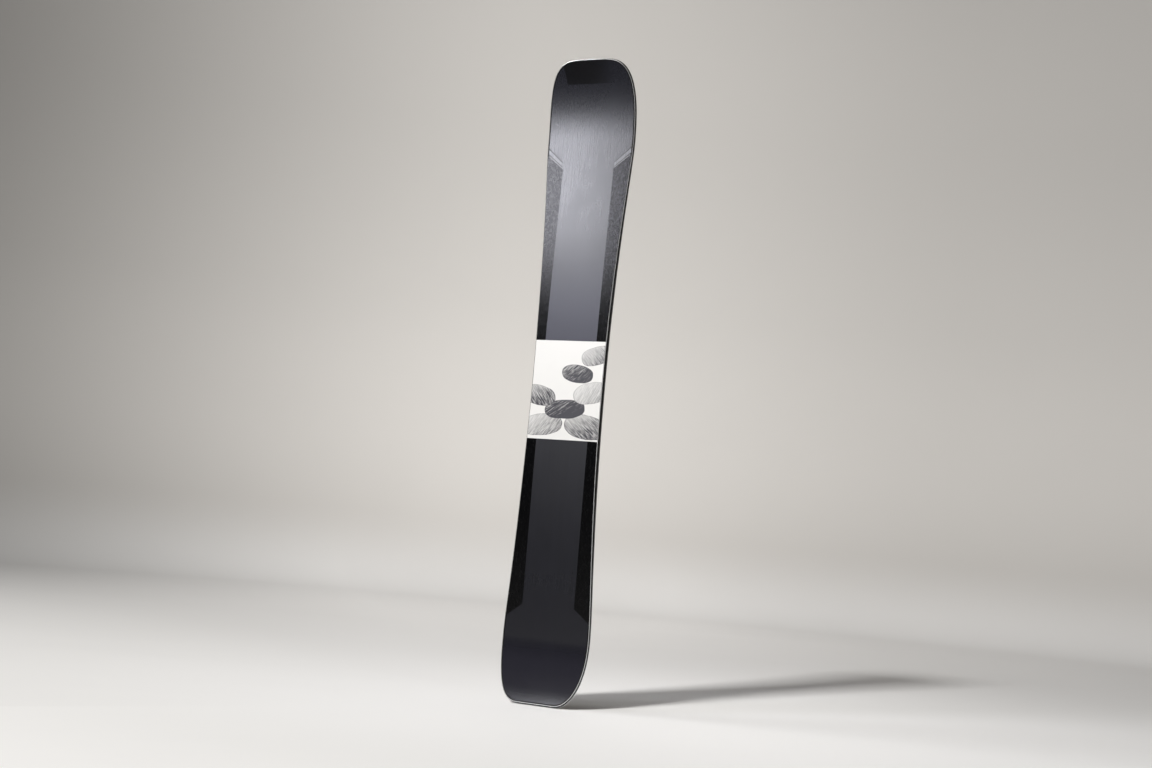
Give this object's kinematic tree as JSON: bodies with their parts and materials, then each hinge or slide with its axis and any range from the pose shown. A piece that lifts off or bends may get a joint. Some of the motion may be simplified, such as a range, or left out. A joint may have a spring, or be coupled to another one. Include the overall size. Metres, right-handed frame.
{
  "type": "short wide ski",
  "caption": "Short, wide ski with blunt rounded ends, sidecut, flat binding platform, steel edges and layered wood-core build, stood upright on its tail.",
  "frame": {"origin": "under the middle of the bounding box, at the foot of the tail", "axes": "+Z along the ski from tail to tip, -Y the side the topsheet faces, +X the ski's right-hand side seen from the topsheet with the tip up"},
  "size_m": [0.1446, 0.0322, 0.99],
  "materials": {
    "charcoal_topsheet": "satin, fine lengthwise grain",
    "black_panel": "satin, fine woven grain",
    "white_panel": "satin print",
    "alloy_sheet": "bright cut edge",
    "black_sidewall": "polished",
    "edge_steel": "ground lengthwise",
    "running_base": "fine stone-ground structure",
    "fibre_laminate": "resin-wet fibre sheet, dyed dark",
    "wood_core": "planed",
    "damping_rubber": "plain",
    "end_spacer": "polished at the edge",
    "reinforcement_sheet": "plain fibre sheet"
  },
  "bodies": {
    "root": {"base_front": "running_base", "base_rear": "running_base", "edge_left": "edge_steel", "edge_right": "edge_steel", "edge_tip": "edge_steel", "edge_tail": "edge_steel", "damping_left": "damping_rubber", "damping_right": "damping_rubber", "lower_laminate": "fibre_laminate", "core_stringer_1": "wood_core", "core_stringer_2": "wood_core", "core_stringer_3": "wood_core", "core_stringer_4": "wood_core", "core_stringer_5": "wood_core", "core_stringer_6": "wood_core", "core_stringer_7": "wood_core", "sidewall_left": "black_sidewall", "sidewall_right": "black_sidewall", "tip_spacer": "end_spacer", "tail_spacer": "end_spacer", "binding_reinforcement": "reinforcement_sheet", "upper_laminate": "alloy_sheet", "topsheet_front": "charcoal_topsheet", "topsheet_rear": "charcoal_topsheet", "panel_front_left": "black_panel", "panel_front_right": "black_panel", "panel_rear_left": "black_panel", "panel_rear_right": "black_panel", "waist_panel": "white_panel"}
  },
  "joints": []
}
